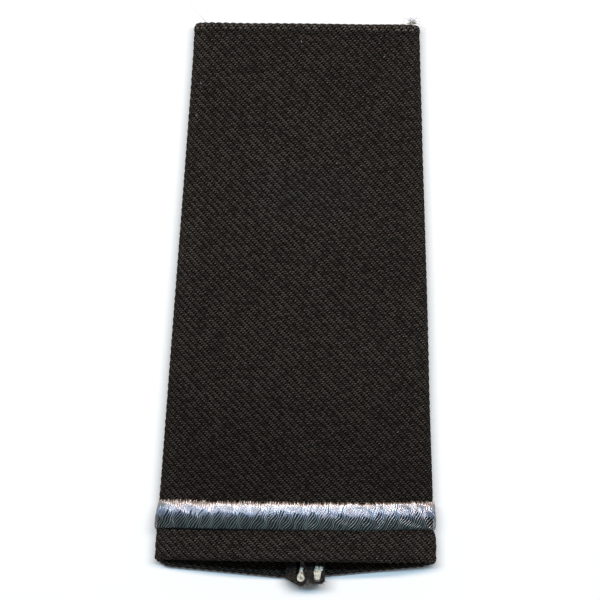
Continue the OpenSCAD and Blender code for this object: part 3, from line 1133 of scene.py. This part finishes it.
def hem_stitches():
    paths = []
    for end in (-1, 1):
        for row in STITCH_ROWS:
            v = end * row
            low, high = -cut_edge(v, LEFT) + MM, cut_edge(v, RIGHT) - MM
            count = int((high - low) / STITCH_PITCH)
            for k in range(count):
                c = low + (k + 0.5 + STITCH_SPOTS) * STITCH_PITCH
                spots = on_board(c, np.full_like(c, v), STITCH_DEPTHS - fullness(c, v))
                paths.append(np.column_stack([spots, np.ones_like(c)]))
    mesh = tubes("hem_stitches", paths, STITCH_R)
    return new_piece("hem_stitches", mesh, (DARK_THREAD,))


stitches = hem_stitches()

# Fibres that stand out of the raw edges at the seam's outer end, and loose ones at the collar end


def hair(start, heading, length, curl, draws, points=6):
    """A wandering path from a start point, each step turned a little from the one before."""
    path = [np.array(start, float)]
    heading = np.array(heading, float)
    for _ in range(points - 1):
        heading = heading / np.linalg.norm(heading)
        path.append(path[-1] + heading * length / (points - 1))
        heading = heading + draws.normal(0, curl, 3)
    thin = np.linspace(1, 0.4, points)
    return np.column_stack([np.array(path), thin])


def scattered(draws, middle, spread, from_y):
    """A spot near middle, both in mm, with its y counted from from_y."""
    spot = np.array(middle) * MM + draws.normal(0, 1, 3) * np.array(spread) * MM
    spot[1] += from_y
    return spot


FUZZ_REACH = 3.5 * MM


def seam_fuzz():
    draws = np.random.default_rng(21)
    paths = []
    for side in (LEFT, RIGHT):
        place = strip_place(side)
        outer_y, outer_r = outer_turn(side)
        for _ in range(420):
            t = draws.uniform(outer_y - math.pi * outer_r - FUZZ_REACH, outer_y + FUZZ_REACH)
            root = (ALLOWANCE_H * draws.uniform(0.8, 1), t, -draws.uniform(0, CLOTH_T))
            spot = place(np.array([root]))[0]
            heading = draws.normal(0, 1, 3) + np.array([0, -0.5, 0.7])
            paths.append(hair(spot, heading, draws.uniform(0.3, 1.0) * MM, 0.45, draws))
    mesh = tubes("seam_fuzz", paths, 0.025 * MM, 4)
    return new_piece("seam_fuzz", mesh, (FUZZ,))


# Lint on the front, in mm: across, along, length
LINT = ((-1.07, 50.26, 0.34), (-21.6, 41.8, 0.25), (-22.4, 35.4, 0.5), (-7.0, 30.3, 0.2))


def loose_fibres():
    draws = np.random.default_rng(33)
    edge_y = MIDDLE_Y + FRONT_L / 2
    thread = np.array(
        [
            (-20.37, -0.03, 6.2),
            (-20.84, 0.46, 5.9),
            (-21.46, 1.11, 5.4),
            (-22.07, 1.59, 4.8),
            (-22.63, 2.06, 4.3),
            (-23.08, 2.71, 3.8),
            (-23.34, 3.41, 3.3),
            (-23.44, 4.21, 2.8),
            (-23.56, 4.81, 2.4),
        ]
    ) * MM
    thread_w = (1.5, 1.5, 1.1, 0.55, 0.8, 0.5, 0.7, 0.45, 0.6)
    paths = [np.column_stack([thread + np.array([0, edge_y, 0]), thread_w])]
    for _ in range(34):
        start = scattered(draws, (21.2, 1.2, 4.4), (0.5, 0.22, 0.4), edge_y)
        heading = draws.normal(0, 1, 3) * np.array([1.0, 0.3, 0.3]) + np.array([0, 0.1, -0.1])
        paths.append(hair(start, heading, draws.uniform(0.4, 1.2) * MM, 0.5, draws, 7))
    for _ in range(22):
        start = scattered(draws, (21.3, 0.9, 4.4), (1.1, 0.5, 0.4), edge_y)
        heading = draws.normal(0, 1, 3) * np.array([1.3, 0.6, 0.3]) + np.array([0, 0.3, -0.1])
        path = hair(start, heading, draws.uniform(1.5, 3.2) * MM, 0.35, draws, 11)
        path[:, 3] *= 0.7
        paths.append(path)
    # A curl of felt inside the left fold, and a bright end beside it
    for x, y, low, high, thick in ((1.42, -57.16, 2.8, 4.45, 5.5), (2.12, -54.94, 3.6, 4.75, 4.5)):
        stub = np.array([(x, y, low), (x, y, high - 0.1), (x + 0.02, y, high)]) * MM
        stub[:, 1] += MIDDLE_Y
        paths.append(np.column_stack([stub, (thick, thick, 0.5 * thick)]))
    for x, y, length in LINT:
        c = x * MM + np.linspace(-0.3, 0.3, 3) * length * MM
        v = y * MM + np.array([0.4, 0.0, -0.5]) * length * MM
        spot = on_board(c, v, np.full(3, -0.05 * MM))
        paths.append(np.column_stack([spot, (0.8, 2.2, 0.8)]))
    mesh = tubes("loose_fibres", paths, 0.032 * MM, 4)
    return new_piece("loose_fibres", mesh, (PALE_FIBRE,))


def frayed_ends():
    """A few ends of yarn at the collar end's right corner, and more below the seam's tip."""
    draws = np.random.default_rng(44)
    paths = []
    for _ in range(16):
        start = scattered(draws, (21.03, 0.63, 4.9), (0.35, 0.12, 0.2), MIDDLE_Y + FRONT_L / 2)
        heading = np.array([draws.choice([-1, 1]), draws.normal(0.05, 0.12), draws.normal(0, 0.2)])
        paths.append(hair(start, heading, draws.uniform(0.5, 0.95) * MM, 0.12, draws, 5))
    tip_y = MIDDLE_Y + seam_y(LEFT, -FRONT_L / 2)
    for _ in range(90):
        start = np.array([3.1 + draws.normal(0, 0.6), -0.3, draws.uniform(2.2, 4.2)]) * MM
        start[1] += tip_y
        heading = np.array([draws.normal(0, 0.7), -1, draws.normal(0, 0.4)])
        path = hair(start, heading, draws.uniform(0.6, 1.5) * MM, 0.5, draws, 7)
        path[:, 3] *= 0.45
        paths.append(path)
    mesh = tubes("frayed_ends", paths, 0.07 * MM, 6)
    return new_piece("frayed_ends", mesh, (FRAYED,))


fuzz = seam_fuzz()
loose = loose_fibres()
frayed = frayed_ends()

# The floor, the light and the camera


FLOOR_HALF = 3
FLOOR_Z = -0.04 * MM


def floor():
    bm = bmesh.new()
    bmesh.ops.create_grid(bm, x_segments=1, y_segments=1, size=FLOOR_HALF)
    bmesh.ops.translate(bm, verts=bm.verts, vec=(0, 0, FLOOR_Z))
    mesh = bpy.data.meshes.new("floor")
    bm.to_mesh(mesh)
    bm.free()
    made = bpy.data.objects.new("floor", mesh)
    bpy.context.scene.collection.objects.link(made)
    paper = Finish("pale_floor", Roughness=0.9, Specular_IOR_Level=0.1)
    paper.shader.inputs["Base Color"].default_value = (0.92, 0.92, 0.92, 1)
    mesh.materials.append(paper.material)


def lamp(name, place, size, power, tint):
    light = bpy.data.lights.new(name, "AREA")
    light.shape = "RECTANGLE"
    light.size, light.size_y = size
    light.energy = power
    light.color = tint
    made = bpy.data.objects.new(name, light)
    made.location = place
    made.rotation_euler = (-Vector(place)).to_track_quat("-Z", "Y").to_euler()
    bpy.context.scene.collection.objects.link(made)


floor()
scene = bpy.context.scene
scene.view_settings.view_transform = "Standard"
world = bpy.data.worlds.new("studio")
scene.world = world
world.use_nodes = True
world.node_tree.nodes["Background"].inputs["Color"].default_value = (0.85, 0.93, 1.0, 1)
world.node_tree.nodes["Background"].inputs["Strength"].default_value = 0.20
lamp("scanner_lamp_low", (0, 0.385, 0.925), (1.2, 0.05), 7.6, (1.0, 0.74, 0.54))
lamp("scanner_lamp_high", (0, 0.255, 0.97), (1.2, 0.05), 8.5, (0.58, 0.82, 1.0))

PX = 0.2008 * MM
FRAME_PX = 600
VIEW_H = 1.2
SENSOR_W = 36
# How the board lay on the scanner
VIEW_TURN = 1.39
camera_data = bpy.data.cameras.new("camera")
camera_data.sensor_width = SENSOR_W
camera_data.lens = SENSOR_W * VIEW_H / (FRAME_PX * PX)
camera_data.clip_start = 0.05
camera = bpy.data.objects.new("camera", camera_data)
camera.location = (-0.10 * MM, MIDDLE_Y - 1.48 * MM, VIEW_H + 6 * MM)
camera.rotation_euler = (0, 0, math.radians(VIEW_TURN))
scene.collection.objects.link(camera)
scene.camera = camera
